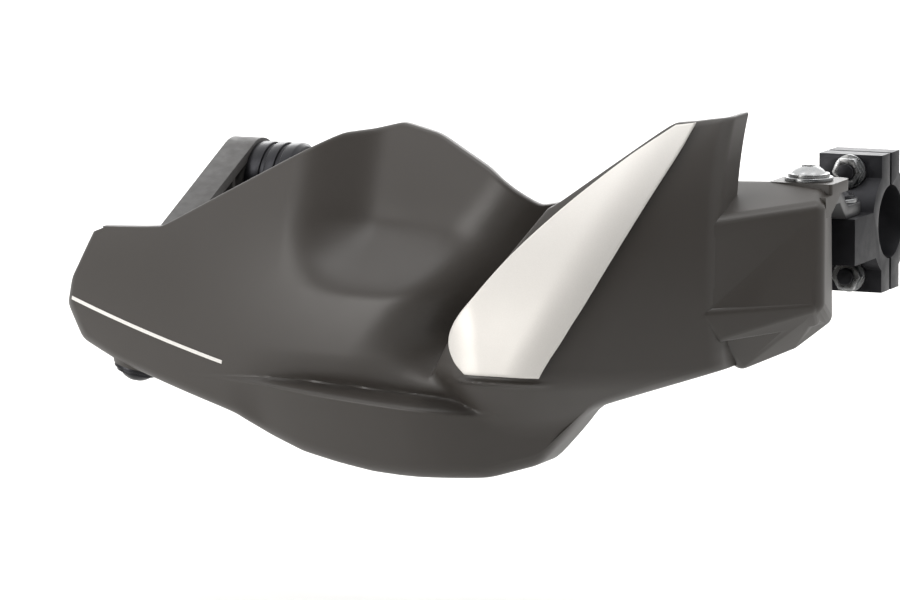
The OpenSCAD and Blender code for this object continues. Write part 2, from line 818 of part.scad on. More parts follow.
module stay_washer() {
    color("silver")
        translate([tab_x, stay_screw_y, stay_low])
            washer(washer_d, screw_hole_r, washer_t);
}

module stay_screw() {
    color("black")
        translate([tab_x, stay_screw_y, stay_low + washer_t])
            flange_screw(washer_t + stay_t + block_h - block_floor - 1);
}

// Bar clamp: two halves around the bar, screwed together above and below it
module clamp_ring() {
    along_bar(tab_x - clamp_w / 2)
        cylinder(r = clamp_r, h = clamp_w);
    translate([tab_x, 0, 0])
        cube([clamp_w, 2 * ear_t, 2 * (ear_z + clamp_screw_d)], center = true);
}

module clamp_block() {
    translate([tab_x - clamp_w / 2, -block_front, block_top - block_h])
        cube([clamp_w, block_front - bar_d / 4, block_h]);
}

// Hole for a clamp screw, with a flat spot for its head and for its nut
module clamp_hole(up) {
    translate([tab_x, 0, up * ear_z])
        rotate([-90, 0, 0]) {
            cylinder(r = clamp_screw_d / 2 + hole_clear, h = 4 * ear_t, center = true);
            for (end = [-1, 1])
                translate([0, 0, end * (ear_t + 5)])
                    cylinder(d = clamp_flange_d + 1, h = 10, center = true);
        }
}

module clamp_half(side) {
    reach = 2 * block_front;
    difference() {
        intersection() {
            union() {
                clamp_ring();
                if (side < 0)
                    clamp_block();
            }
            translate([tab_x, side * (reach + clamp_gap) / 2, 0])
                cube([reach, reach, reach], center = true);
        }
        along_bar(tab_x - clamp_w)
            cylinder(d = bar_d, h = 2 * clamp_w);
        clamp_hole(-1);
        clamp_hole(1);
        if (side < 0)
            translate([tab_x, stay_screw_y, block_top - block_h + block_floor])
                cylinder(r = screw_d / 2 + thread_gap, h = block_h);
    }
}

module clamp_front() {
    color("darkslategray")
        clamp_half(-1);
}

module clamp_rear() {
    color("darkslategray")
        clamp_half(1);
}

module clamp_screw() {
    difference() {
        union() {
            cylinder(d = clamp_screw_d * 1.7, h = clamp_screw_d);
            translate([0, 0, -2 * ear_t - clamp_nut_h - 1])
                cylinder(d = clamp_screw_d, h = 2 * ear_t + clamp_nut_h + 1);
        }
        translate([0, 0, clamp_screw_d * 0.45])
            cylinder(d = hex_socket(clamp_screw_d), h = clamp_screw_d, $fn = 6);
    }
}

module clamp_screws() {
    color("black")
        for (up = [-1, 1])
            translate([tab_x, ear_t, up * ear_z])
                rotate([-90, 0, 0])
                    clamp_screw();
}

module clamp_nuts() {
    color("silver")
        for (up = [-1, 1])
            translate([tab_x, -ear_t, up * ear_z])
                rotate([90, 0, 0])
                    flange_nut(clamp_screw_d, clamp_screw_d * 1.6, clamp_nut_h, clamp_flange_d);
}

shell();
inlay();
inlay_tape();
outer_arm();
outer_insert();
outer_sleeve();
outer_washer();
outer_screw();
bar_end_spacer();
bar_end_washer();
bar_end_screw();
plug_washer();
plug_rubber();
plug_nut();
inner_sleeve();
inner_washer();
inner_screw();
inner_nut();
inner_stay();
clamp_front();
clamp_rear();
clamp_screws();
clamp_nuts();
stay_screw();
stay_washer();
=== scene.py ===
import math

import bmesh
import bpy
import numpy as np
from mathutils import Matrix, Vector


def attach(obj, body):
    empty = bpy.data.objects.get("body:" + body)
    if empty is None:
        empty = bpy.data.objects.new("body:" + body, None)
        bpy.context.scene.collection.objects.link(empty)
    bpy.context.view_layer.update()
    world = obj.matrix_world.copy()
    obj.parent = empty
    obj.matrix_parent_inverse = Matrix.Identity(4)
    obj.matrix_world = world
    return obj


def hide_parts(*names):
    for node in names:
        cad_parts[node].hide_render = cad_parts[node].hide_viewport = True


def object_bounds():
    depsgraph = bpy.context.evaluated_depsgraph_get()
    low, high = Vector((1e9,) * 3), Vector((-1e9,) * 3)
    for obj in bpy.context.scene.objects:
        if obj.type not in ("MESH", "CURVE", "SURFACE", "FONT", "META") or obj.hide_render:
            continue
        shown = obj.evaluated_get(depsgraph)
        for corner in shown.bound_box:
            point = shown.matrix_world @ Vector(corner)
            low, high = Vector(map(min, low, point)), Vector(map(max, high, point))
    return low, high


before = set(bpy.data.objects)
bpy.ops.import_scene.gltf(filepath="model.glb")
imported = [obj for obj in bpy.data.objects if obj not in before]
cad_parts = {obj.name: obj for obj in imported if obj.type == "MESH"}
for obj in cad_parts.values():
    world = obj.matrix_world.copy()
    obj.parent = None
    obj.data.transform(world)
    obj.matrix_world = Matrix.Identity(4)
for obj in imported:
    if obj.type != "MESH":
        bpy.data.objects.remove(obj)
cad_box = [list(corner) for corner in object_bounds()]
bpy.ops.object.select_all(action="DESELECT")

MM = 0.001

# Camera: seen from the front, 22 degrees round to the inboard side and 8 degrees up
VIEW_TURN = math.radians(22)
VIEW_RISE = math.radians(8)
VIEW_DISTANCE = 2600 * MM
VIEW_WIDTH = 271 * MM
VIEW_AIM = Vector((70.8, -56.1, -23.0)) * MM
# Width of its film in millimetres, and how far it sees in metres
FILM_WIDTH, FAR_CLIP = 36, 100

# Stage: how far the floor lies under the guard's lowest point, and its width in metres
FLOOR_DROP = 45 * MM
FLOOR_SIZE = 12

# Lamps, each with its turn from the front and its rise in degrees, its distance in metres, its
# width and height, its power in watts and its colour. The key is low and to the left, as the
# shading of the photograph shows. A tall box above it lights the inlay's upper end, a small one
# on the right draws the pocket's edges, and one behind shows the back.
WHITE, WARM_WHITE = (1.0, 1.0, 1.0), (1.0, 0.98, 0.96)
LAMPS = {
    "key": (-37, 8, 2.0, (1.1, 0.7), 22, WARM_WHITE),
    "upper": (-40, 56, 2.0, (0.7, 0.9), 9, WHITE),
    "edge": (62, 58, 2.0, (0.25, 0.25), 8, WHITE),
    "rear": (195, 22, 2.2, (1.4, 0.8), 12, WHITE),
}
# Wide lamps behind and beside the guard, above its middle, face straight down: they whiten the
# floor of the background and hardly light the guard. Each has its turn from the camera, its
# distance and its power.
FLOOR_LAMPS = ((180, 1.12, 32), (90, 1.9, 9), (-90, 1.9, 9))
FLOOR_LAMP_SIZE, FLOOR_LAMP_HEIGHT = (2.6, 2.3), 0.24
SKY_COLOUR, SKY_STRENGTH = (0.9, 0.93, 1.0, 1.0), 0.1


def camera_back(turn, rise):
    """Direction from the guard to a camera or a lamp at that turn from the front and that rise."""
    level = math.cos(rise)
    return Vector((math.sin(turn) * level, -math.cos(turn) * level, math.sin(rise)))


def add_camera():
    data = bpy.data.cameras.new("camera")
    data.sensor_width = FILM_WIDTH
    data.lens = data.sensor_width * VIEW_DISTANCE / VIEW_WIDTH
    data.clip_end = FAR_CLIP
    camera = bpy.data.objects.new("camera", data)
    back = camera_back(VIEW_TURN, VIEW_RISE)
    camera.location = VIEW_AIM + back * VIEW_DISTANCE
    camera.rotation_euler = (-back).to_track_quat("-Z", "Y").to_euler()
    bpy.context.scene.collection.objects.link(camera)
    bpy.context.scene.camera = camera


def add_lamp(name, place, aim, size, power, colour):
    """Soft box at a place, turned to what it lights; its size is its width and height."""
    data = bpy.data.lights.new(name, "AREA")
    data.shape = "RECTANGLE"
    data.size, data.size_y = size
    data.energy = power
    data.color = colour
    lamp = bpy.data.objects.new(name, data)
    lamp.location = place
    lamp.visible_camera = False
    lamp.rotation_euler = (aim - place).to_track_quat("-Z", "Y").to_euler()
    bpy.context.scene.collection.objects.link(lamp)


def around(turn, rise, distance):
    """Place at a distance from the guard, by its turn from the front and its rise in degrees."""
    return VIEW_AIM + camera_back(math.radians(turn), math.radians(rise)) * distance


def light_studio():
    for name, (turn, rise, distance, size, power, colour) in LAMPS.items():
        add_lamp(name, around(turn, rise, distance), VIEW_AIM, size, power, colour)
    for turn, distance, power in FLOOR_LAMPS:
        level = around(math.degrees(VIEW_TURN) + turn, 0, distance)
        place = level + Vector((0, 0, FLOOR_LAMP_HEIGHT))
        add_lamp("panel", place, place - Vector((0, 0, 1)), FLOOR_LAMP_SIZE, power, WHITE)
    world = bpy.data.worlds.new("studio")
    world.use_nodes = True
    sky = world.node_tree.nodes["Background"]
    sky.inputs["Color"].default_value = SKY_COLOUR
    sky.inputs["Strength"].default_value = SKY_STRENGTH
    bpy.context.scene.world = world
    bpy.context.scene.view_settings.view_transform = "Standard"


def srgb(value):
    """Linear colour of an sRGB hex value."""
    parts = [(value >> shift & 255) / 255 for shift in (16, 8, 0)]
    return [p / 12.92 if p <= 0.04045 else ((p + 0.055) / 1.055) ** 2.4 for p in parts] + [1.0]


def add(tree, kind, inputs=(), **settings):
    """Adds a node with its settings. Inputs are values, or the sockets that they are linked to."""
    made = tree.nodes.new("ShaderNode" + kind)
    for name, value in settings.items():
        setattr(made, name, value)
    for name, value in dict(inputs).items():
        if isinstance(value, bpy.types.NodeSocket):
            tree.links.new(value, made.inputs[name])
        else:
            made.inputs[name].default_value = value
    return made


def start_material(name):
    """New material, its tree, and the places on the object that its patterns lie on."""
    material = bpy.data.materials.new(name)
    material.use_nodes = True
    material.node_tree.nodes.clear()
    place = add(material.node_tree, "TexCoord").outputs["Object"]
    return material, material.node_tree, place


def close_material(tree, inputs):
    shader = add(tree, "BsdfPrincipled", inputs)
    add(tree, "OutputMaterial", {"Surface": shader.outputs["BSDF"]})


def noise(tree, place, size_mm, detail=2.0):
    """Noise whose features are about this many millimetres across, from 0 to 1."""
    settings = {"Vector": place, "Scale": 1 / (size_mm * MM), "Detail": detail}
    return add(tree, "TexNoise", settings).outputs["Fac"]


# A noise seldom leaves this range
NOISE_LOW, NOISE_HIGH = 0.3, 0.7


def spread(tree, value, low, high):
    """Stretches the middle of a noise to the range from low to high."""
    settings = {"Value": value, "From Min": NOISE_LOW, "From Max": NOISE_HIGH,
                "To Min": low, "To Max": high}
    return add(tree, "MapRange", settings).outputs["Result"]


def blend(tree, amount, first, second):
    """Mixes two sRGB hex colours by an amount from 0 to 1."""
    mixed = add(tree, "Mix", {0: amount, 6: srgb(first), 7: srgb(second)}, data_type="RGBA")
    return mixed.outputs[2]


def bump(tree, height, depth_mm, strength=1.0):
    """Normal of a pattern of heights from 0 to this depth."""
    settings = {"Height": height, "Distance": depth_mm * MM, "Strength": strength}
    return add(tree, "Bump", settings).outputs["Normal"]


# Materials. Grain, pits and crystals are drawn 0.25 to 0.5 mm across where the real ones are too
# fine to show.


# Injection moulded ABS from a spark eroded tool: a matt, warm dark grey skin with a fine grain
# that breaks up its highlights. The real grain of 0.1 mm is drawn as 0.45 mm so that it shows.
def moulded_abs():
    material, tree, place = start_material("moulded_abs")
    close_material(tree, {
        "Base Color": blend(tree, noise(tree, place, 30), 0x322E2A, 0x35312D),
        "Roughness": spread(tree, noise(tree, place, 14), 0.44, 0.47),
        "IOR": 1.5,
        "Normal": bump(tree, noise(tree, place, 0.45), 0.03, 0.35),
    })
    return material


# ABS with sprayed satin silver lacquer: fine flakes give a soft metallic sheen. The real flakes
# are 0.02 mm across and are drawn as 0.35 mm so that they show.
def silver_lacquer():
    material, tree, place = start_material("silver_lacquer")
    close_material(tree, {
        "Base Color": blend(tree, noise(tree, place, 0.35), 0xCFCCC7, 0xD8D5D0),
        "Metallic": 0.4,
        "Roughness": spread(tree, noise(tree, place, 9), 0.5, 0.54),
        "Normal": bump(tree, noise(tree, place, 0.5), 0.02, 0.25),
    })
    return material


# Closed cell acrylic foam tape: dull black with a pitted edge
def foam_tape():
    material, tree, place = start_material("foam_tape")
    close_material(tree, {
        "Base Color": srgb(0x1E1E1E),
        "Roughness": 0.9,
        "Normal": bump(tree, noise(tree, place, 0.4), 0.1, 0.8),
    })
    return material


# Glass filled nylon, moulded: black, with faint grey streaks where the fibres lie at the skin
def glass_filled_nylon():
    material, tree, place = start_material("glass_filled_nylon")
    close_material(tree, {
        "Base Color": blend(tree, noise(tree, place, 4, 6), 0x2C2A29, 0x393735),
        "Roughness": spread(tree, noise(tree, place, 3), 0.48, 0.62),
        "IOR": 1.53,
        "Normal": bump(tree, noise(tree, place, 0.7, 4), 0.06, 0.5),
    })
    return material


# Steel with black zinc plating: a dark satin metal with cloudy patches
def black_zinc():
    material, tree, place = start_material("black_zinc")
    close_material(tree, {
        "Base Color": blend(tree, noise(tree, place, 2.5), 0x252527, 0x37373A),
        "Metallic": 0.85,
        "Roughness": spread(tree, noise(tree, place, 1.2), 0.32, 0.48),
        "Normal": bump(tree, noise(tree, place, 0.3), 0.02, 0.3),
    })
    return material


# Steel with bright zinc plating, gone a little dull and drawn darker still as painted shade: mid
# grey with a blue cast, and satin from the plating's crystals
def dull_and_shaded_zinc():
    material, tree, place = start_material("dull_and_shaded_zinc")
    close_material(tree, {
        # Painted shade: the plating's grey is drawn darker than the metal is
        "Base Color": blend(tree, noise(tree, place, 1.5), 0x85878A, 0xA3A3A1),
        "Metallic": 1.0,
        "Roughness": spread(tree, noise(tree, place, 0.8), 0.24, 0.38),
        "Normal": bump(tree, noise(tree, place, 0.25), 0.015, 0.3),
    })
    return material


# Aluminium, turned and black anodised: fine feed marks run round the bar's axis. The real marks
# of 0.1 mm are drawn 0.4 mm apart so that they show.
FEED_MARK_MM = 0.4


def turned_anodised():
    material, tree, place = start_material("turned_anodised")
    # A band of the wave texture is about 1 / pi of its unit wide
    marks = add(tree, "TexWave", {
        "Vector": place, "Scale": 1 / (math.pi * FEED_MARK_MM * MM),
        "Distortion": 0.4, "Detail": 1.0}, wave_type="BANDS", bands_direction="X")
    close_material(tree, {
        "Base Color": blend(tree, noise(tree, place, 5), 0x1E1E20, 0x2A2A2D),
        "Metallic": 0.8,
        "Roughness": spread(tree, noise(tree, place, 2), 0.3, 0.38),
        "Normal": bump(tree, marks.outputs["Fac"], 0.015, 0.35),
    })
    return material


# Aluminium, bead blasted and black anodised: an even, dull satin with a very fine pitted grain
def blasted_anodised():
    material, tree, place = start_material("blasted_anodised")
    close_material(tree, {
        "Base Color": blend(tree, noise(tree, place, 8), 0x212123, 0x2B2B2E),
        "Metallic": 0.75,
        "Roughness": spread(tree, noise(tree, place, 3), 0.42, 0.5),
        "Normal": bump(tree, noise(tree, place, 0.35), 0.04, 0.6),
    })
    return material


# Steel strip with black powder coat: thick and glossy, with the skin of an orange
def powder_coat():
    material, tree, place = start_material("powder_coat")
    close_material(tree, {
        "Base Color": srgb(0x1D1D1E),
        "Roughness": spread(tree, noise(tree, place, 5), 0.26, 0.34),
        "IOR": 1.5,
        "Normal": bump(tree, noise(tree, place, 1.3), 0.06, 0.5),
    })
    return material


# Free cutting brass, turned: yellow metal, slightly dulled
def turned_brass():
    material, tree, place = start_material("turned_brass")
    close_material(tree, {
        "Base Color": blend(tree, noise(tree, place, 2), 0xB08D4C, 0xC9A866),
        "Metallic": 1.0,
        "Roughness": spread(tree, noise(tree, place, 1), 0.28, 0.4),
        "Normal": bump(tree, noise(tree, place, 0.4), 0.02, 0.3),
    })
    return material


# Nitrile rubber, compression moulded: deep black and dull, with a powdery bloom
def moulded_rubber():
    material, tree, place = start_material("moulded_rubber")
    close_material(tree, {
        "Base Color": blend(tree, noise(tree, place, 3), 0x161616, 0x232221),
        "Roughness": spread(tree, noise(tree, place, 1.5), 0.66, 0.82),
        "IOR": 1.52,
        "Normal": bump(tree, noise(tree, place, 0.5), 0.05, 0.5),
    })
    return material


# Pad printed ink on the shell: a pale line, flat and matt
def printed_ink():
    material, tree, place = start_material("printed_ink")
    close_material(tree, {
        "Base Color": blend(tree, noise(tree, place, 1), 0xD6D3CE, 0xE6E4E0),
        "Roughness": 0.5,
        "Normal": bump(tree, noise(tree, place, 0.45), 0.03, 0.3),
    })
    return material


# Matt paint on the studio's floor: an even pale grey without shine
def floor_paint():
    material, tree, _ = start_material("floor_paint")
    close_material(tree, {
        "Base Color": srgb(0xD9D8D6),
        "Roughness": 0.7,
    })
    return material


# Shell. Its face is a relief over an outline of three lines that run from the outer tip to the
# panel's inboard edge: the top rim, the crease above the chin, and the lower edge, each as
# [along the bar, height] in millimetres. A key is a place along the lines, by their points.
RIM_TOP = [[-45.6, -6.7], [-39.2, -6], [-33.5, -5.4], [-26.8, -4.7], [-19.1, -3.7],
           [41.6, 28], [50.7, 29.3], [60.3, 31.7], [74.1, 29.4], [94.3, 21.2],
           [110.1, 10.7], [118.4, 11.7], [150.2, 36.5], [156.4, 37], [159.5, 37.4],
           [162.5, 37.7]]
CREASE = [[-44.5, -6.6], [-50, -18], [-49, -27], [-43, -35], [-30, -42],
          [20, -46.2], [30, -46.4], [40, -46.9], [50, -47.4], [60, -47.9],
          [70, -48.2], [76, -47.8], [100, -39.5], [121, -38], [140, -36.5],
          [162.8, -31]]
RIM_LOW = [[-50, -8.6], [-59.6, -24.6], [-61.2, -32.6], [-54, -42.6], [-38, -47.4],
           [9.7, -57.5], [21.5, -63.6], [33.8, -67.6], [46.9, -69.8], [58.7, -71.3],
           [68.6, -71.7], [74.8, -71.7], [95.9, -71.1], [110.6, -66.9], [128, -48.6],
           [162.5, -37.5]]
# The band that carries the inlay starts after BAND_KEY
BAND_KEY, LAST_KEY = 10, 15
# Size of the guard, and the scale from the drawn outline to it
GUARD_LEN, GUARD_H = 223.5, 109.5
KX = GUARD_LEN / (RIM_TOP[LAST_KEY][0] - RIM_LOW[2][0])
KZ = GUARD_H / (RIM_TOP[LAST_KEY][1] - RIM_LOW[BAND_KEY][1])
BACK = np.array([0.0, 1.0, 0.0])
# Softening of the lines' corners: shifts along a line, and each one's share
CORNER_SHARES = ((-0.15, 1), (-0.08, 2), (0, 3), (0.08, 2), (0.15, 1))

# Forms of the face, as reaches and places in millimetres and as slopes; a SOFT is the width over
# which two forms run into each other, a RUN a stretch along the bar and a CLIMB one of heights.
# The lobe round the hand, and how it leans back above and below its widest line
LOBE_REACH, LOBE_X, LOBE_BOW = 103, 100, 484
LEAN_X, LEAN_Z, LEAN_TILT, LEAN_UP, LEAN_DOWN, LEAN_SOFT = -20, -20, 0.04, 0.4, 0.1, 14
# The scoop under the peak, and the valley beside the band
HOLLOW_DEPTH, HOLLOW_IN, HOLLOW_OUT, HOLLOW_CLIMB = 13.0, (28, 57), (57, 122), (-19, 4)
VALLEY_SLOPE, VALLEY_AT, VALLEY_WAY, VALLEY_SOFT = 0.85, (101, 16), (0.806, -0.592), 7
# The face tucks in above the chin, and passes behind the band
TUCK_SLOPE, TUCK_Z, TUCK_SOFT, TUCK_RUN = 0.8, -41, 5, (8, 44)
BEHIND_SLOPE, BEHIND_X, BEHIND_SOFT = 1.3, 106, 10
NOSE_CLIMB = (-46, -26)
# The chin stands out under its crease and falls back to the lower edge
RIDGE_REACH, RIDGE_X, RIDGE_BOW = 104, 95, 350
SINK_SLOPE, SINK_X, SINK_SOFT = 0.45, 86, 6
CREASE_Z, CREASE_TURN, CREASE_FALL = -46, 25, 0.05
CHIN_SLOPE, STEP_SLOPE, CHIN_SOFT = 0.4, 3.5, 5
FORM_SOFT = 3
# The band: its crown, the inner edge from which the panel falls away, its outer flank, and the
# nose below it
CROWN_REACH, CROWN_Z, CROWN_SLOPE, CROWN_BOW = 109.5, -30, 0.12, 0.0055
BAND_FOOT, BAND_HEAD = (121, -36), (157, 37)
PANEL_SLOPE, PANEL_SOFT = 0.8, 9
FLANK_REACH, FLANK_SLOPE, FLANK_X, FLANK_SOFT = 108, 0.9, 94, 6
NOSE_SLOPE, NOSE_Z, NOSE_SOFT = 0.95, -38.5, 3
BAND_SINK, BAND_FADE = 45, 0.95
# Raised lip under the inlay's foot: its height, half width and middle, and where it starts and ends
LIP_RISE, LIP_HALF, LIP_Z, LIP_START, LIP_END = 1.5, 0.9, -38.9, (91, 97), (118, 124)

# Wall: its thickness, the lip behind the lower edge, and the return wall at the panel's edge
SKIN, LIP_DEPTH, EDGE_ROUND, RETURN_W, RETURN_ROUND = 3.0, 18.0, 5.0, 11.0, 4.0
# Least depth of the return wall, and the step in keys that gives the outline's run into it
RETURN_LEAST, RETURN_STEP = 0.5, 0.3
# Share of the lip's depth that is left at its ends, and the keys over which it grows and shrinks
LIP_LEAST, LIP_GROWS, LIP_SHRINKS = 0.4, (0, 3), (LAST_KEY - 2, LAST_KEY)
# Most of the low face that the edge's rounding takes, and a row just above that edge
ROUND_SHARE, NEAR_EDGE = 0.45, 1.7
# The wall is measured along Y, so it grows on slopes, up to a limit, and behind the valley's rim
GROW_MOST, GROW_BAND, SLOPE_PROBE = 1.6, 1.2, 2
# Rounding of the moulding's free edges, and the most of the first row that it takes
RIM_R, RIM_SHARE = 0.8, 0.45

# Grid steps: columns in each stretch of the outline, and rows of the face, its round, its lip and
# the return wall
COLS = [12, 8, 8, 12, 34, 12, 12, 12, 12, 14, 22, 30, 16, 10, 10]
ROWS_UP, ROWS_LOW, ROWS_ROUND, ROWS_LIP, ROWS_RETURN = 64, 48, 8, 12, 8
# Rows crowd towards the crease from both sides by these powers
ROW_CROWD, LOW_CROWD = 1.45, 1.3
# Points of a mesh that are closer than this are merged
WELD = 0.0005


def smax(a, b, k):
    """Greater of two values, with the corner between them rounded over a width k."""
    near = np.maximum(k - np.abs(a - b), 0) / k
    return np.maximum(a, b) + near * near * k / 4


def smin(a, b, k):
    return -smax(-a, -b, k)


def soft(v, low, high):
    """Smooth step from 0 at low to 1 at high."""
    t = np.clip((v - low) / (high - low), 0, 1)
    return t * t * (3 - 2 * t)


def unit(v):
    return v / np.linalg.norm(v, axis=-1, keepdims=True)


def crown(z):
    return CROWN_REACH - CROWN_SLOPE * (z - CROWN_Z) - CROWN_BOW * (z - CROWN_Z) ** 2


def band(x, z):
    """Reach of the raised band that carries the inlay, with the panel falling away inboard."""
    edge = BAND_FOOT[0] + ((z - BAND_FOOT[1]) * (BAND_HEAD[0] - BAND_FOOT[0])
                           / (BAND_HEAD[1] - BAND_FOOT[1]))
    panel = smin(crown(z), crown(z) - PANEL_SLOPE * (x - edge), PANEL_SOFT)
    flank = FLANK_REACH + FLANK_SLOPE * (x - FLANK_X)
    nose = smax(NOSE_SLOPE * (NOSE_Z - z), 0, NOSE_SOFT)
    lip = LIP_RISE * np.exp(-((z - LIP_Z) / LIP_HALF) ** 2)
    lip = lip * soft(x, *LIP_START) * (1 - soft(x, *LIP_END))
    return smin(panel, flank, FLANK_SOFT) - nose + lip


def relief(x, z, u):
    """Forward reach of the shell's face at a place, which lies at the key u of the lines."""
    lobe = LOBE_REACH - (x - LOBE_X) ** 2 / LOBE_BOW
    up = z - LEAN_Z - LEAN_TILT * (x - LEAN_X)
    lean = smax(LEAN_UP * up, -LEAN_DOWN * up, LEAN_SOFT)
    hollow = (HOLLOW_DEPTH * soft(x, *HOLLOW_IN) * soft(z, *HOLLOW_CLIMB)
              * (1 - soft(x, *HOLLOW_OUT)))
    across = VALLEY_WAY[0] * (x - VALLEY_AT[0]) + VALLEY_WAY[1] * (z - VALLEY_AT[1])
    valley = smax(VALLEY_SLOPE * across, 0, VALLEY_SOFT) * soft(z, *NOSE_CLIMB)
    tuck = smax(TUCK_SLOPE * (TUCK_Z - z), 0, TUCK_SOFT) * soft(x, *TUCK_RUN)
    behind = smax(BEHIND_SLOPE * (x - BEHIND_X), 0, BEHIND_SOFT) * (1 - soft(z, *NOSE_CLIMB))
    face = lobe - lean - hollow - valley - tuck - behind
    ridge = (RIDGE_REACH - np.minimum(x - RIDGE_X, 0) ** 2 / RIDGE_BOW
             - smax(SINK_SLOPE * (x - SINK_X), 0, SINK_SOFT))
    over = z - CREASE_Z + CREASE_FALL * np.maximum(x - CREASE_TURN, 0)
    chin = smin(ridge + CHIN_SLOPE * (over + 1), ridge - STEP_SLOPE * over, CHIN_SOFT)
    sink = BAND_SINK * (1 - soft(u, BAND_KEY, BAND_KEY + BAND_FADE))
    return smax(smax(face, chin, FORM_SOFT), band(x, z) - sink, FORM_SOFT)


def along(line, u):
    """Point of a line at a key, with the line's corners softened."""
    keys = np.arange(LAST_KEY + 1)
    pts = np.array(line, float)
    total = 0
    for shift, share in CORNER_SHARES:
        spot = np.stack([np.interp(u + shift, keys, pts[:, k]) for k in (0, 1)], -1)
        total = total + share * spot
    return total / sum(share for _, share in CORNER_SHARES)


def face_point(u, s):
    """Point of the face: s runs from 0 at the top rim over 1 at the crease to 2 at the low edge."""
    u, s = np.broadcast_arrays(np.asarray(u, float), np.asarray(s, float))
    top, mid, low = along(RIM_TOP, u), along(CREASE, u), along(RIM_LOW, u)
    up = np.clip(s, 0, 1)[..., None]
    down = np.clip(s - 1, 0, 1)[..., None]
    flat = top + (mid - top) * up + (low - mid) * down
    x, z = flat[..., 0], flat[..., 1]
    return np.stack([x * KX, -relief(x, z, u), z * KZ], -1)


def skin_rows(u):
    """Outer skin and the way through the wall, for the columns u: face, round and lip."""
    u = np.asarray(u, float)[:, None]
    edge = face_point(u, 2)
    drop = np.linalg.norm(edge - face_point(u, 1), axis=-1)
    r = np.minimum(EDGE_ROUND, ROUND_SHARE * drop)
    down = unit(edge - face_point(u, NEAR_EDGE))
    steps_up = 1 - (1 - np.linspace(0, 1, ROWS_UP + 1)[:-1]) ** ROW_CROWD
    steps_low = 1 + np.linspace(0, 1, ROWS_LOW + 1)[None] ** LOW_CROWD * (1 - r / drop)
    s = np.concatenate([np.broadcast_to(steps_up, (len(u), ROWS_UP)), steps_low], 1)
    face = face_point(u, s)
    a = np.radians(90) * np.linspace(0, 1, ROWS_ROUND + 1)[None, 1:, None]
    turned = edge + r[..., None] * (down * (np.sin(a) - 1) + BACK * (1 - np.cos(a)))
    more = 1 - LIP_LEAST
    depth = LIP_DEPTH * (LIP_LEAST + more * soft(u, *LIP_GROWS) - more * soft(u, *LIP_SHRINKS))
    w = np.linspace(0, 1, ROWS_LIP + 1)[None, 1:]
    lip = edge + BACK * (r * (1 - w) + depth * w)[..., None]
    x, z, e = face[..., 0] / KX, face[..., 2] / KZ, SLOPE_PROBE
    slope = np.hypot(relief(x + e, z, 0) - relief(x - e, z, 0),
                     relief(x, z + e, 0) - relief(x, z - e, 0)) / (2 * e)
    on_band = (u > BAND_KEY) & (u < BAND_KEY + 1) & (s < 1)
    rise = np.where(on_band, GROW_BAND * np.sin(np.pi * (u - BAND_KEY)), 0)
    grow = np.minimum(GROW_MOST, np.sqrt(1 + slope ** 2)) + rise
    wall = [BACK * (SKIN * grow)[..., None], SKIN * (BACK * np.cos(a) - down * np.sin(a)),
            np.broadcast_to(-SKIN * down, lip.shape)]
    outer = np.concatenate([face, turned, lip], 1)
    return outer, np.concatenate(wall, 1)


def rounded_end(outer, wall, way, room):
    """Rows that round off a free edge of the wall, from its flanks to its end."""
    r = np.minimum(RIM_R, RIM_SHARE * room)[..., None]
    through = unit(wall)
    rows = []
    for a in np.radians([0, 30, 60, 90]):
        inset = through * r * (1 - math.cos(a))
        short = way * r * (math.sin(a) - 1)
        rows.append((outer + (inset + short), outer + wall + short - inset))
    return [np.stack(side, 1) for side in zip(*rows)]


def shell_grids():
    """Outer and inner skin of the moulding as two grids of points, column by column."""
    cols = np.concatenate([k + np.arange(n) / n for k, n in enumerate(COLS)] + [[LAST_KEY]])
    outer, wall = skin_rows(cols)
    last, last_wall = outer[-1], wall[-1]
    inboard = unit(last - skin_rows([LAST_KEY - RETURN_STEP])[0][0])
    past_edge = np.arange(len(last)) > ROWS_UP + ROWS_LOW
    sunk = np.maximum(last[:, 1] - face_point(LAST_KEY, 2)[1], 0) * past_edge
    reach = np.maximum(RETURN_W - sunk, RETURN_LEAST)[:, None]
    for a in np.radians(np.linspace(0, 90, ROWS_RETURN + 1)[1:]):
        p = last + RETURN_ROUND * (inboard * math.sin(a) + BACK * (1 - math.cos(a)))
        through = last_wall * math.cos(a) - SKIN * inboard * math.sin(a)
        outer = np.concatenate([outer, p[None]])
        wall = np.concatenate([wall, through[None]])
    turned = outer[-1]
    for w in np.linspace(0, 1, ROWS_RETURN + 1)[1:]:
        outer = np.concatenate([outer, (turned + BACK * reach * w)[None]])
        wall = np.concatenate([wall, wall[-1][None]])
    # Free edges: the top rim, the end of the lip, and the end of the return wall
    room = np.linalg.norm(outer[:, 1] - outer[:, 0], axis=-1)
    way = unit(outer[:, 0] - outer[:, 1])
    rim_outer, rim_inner = rounded_end(outer[:, 0], wall[:, 0], way, room)
    room = np.linalg.norm(outer[:, -1] - outer[:, -2], axis=-1)
    lip_outer, lip_inner = rounded_end(outer[:, -1], wall[:, -1], BACK, room)
    inner = outer + wall
    outer = np.concatenate([rim_outer[:, ::-1], outer[:, 1:-1], lip_outer], 1)
    inner = np.concatenate([rim_inner[:, ::-1], inner[:, 1:-1], lip_inner], 1)
    return outer, inner


def mesh_piece(name, points, faces):
    """Piece from points in millimetres and faces of their numbers."""
    data = bpy.data.meshes.new(name)
    data.from_pydata([tuple(p) for p in np.asarray(points) * MM], [], faces)
    piece = bpy.data.objects.new(name, data)
    bpy.context.scene.collection.objects.link(piece)
    outward(piece)
    return piece


def outward(piece):
    """Merges doubles and turns all faces outwards."""
    made = bmesh.new()
    made.from_mesh(piece.data)
    bmesh.ops.remove_doubles(made, verts=made.verts, dist=WELD * MM)
    bmesh.ops.recalc_face_normals(made, faces=made.faces)
    made.to_mesh(piece.data)
    made.free()


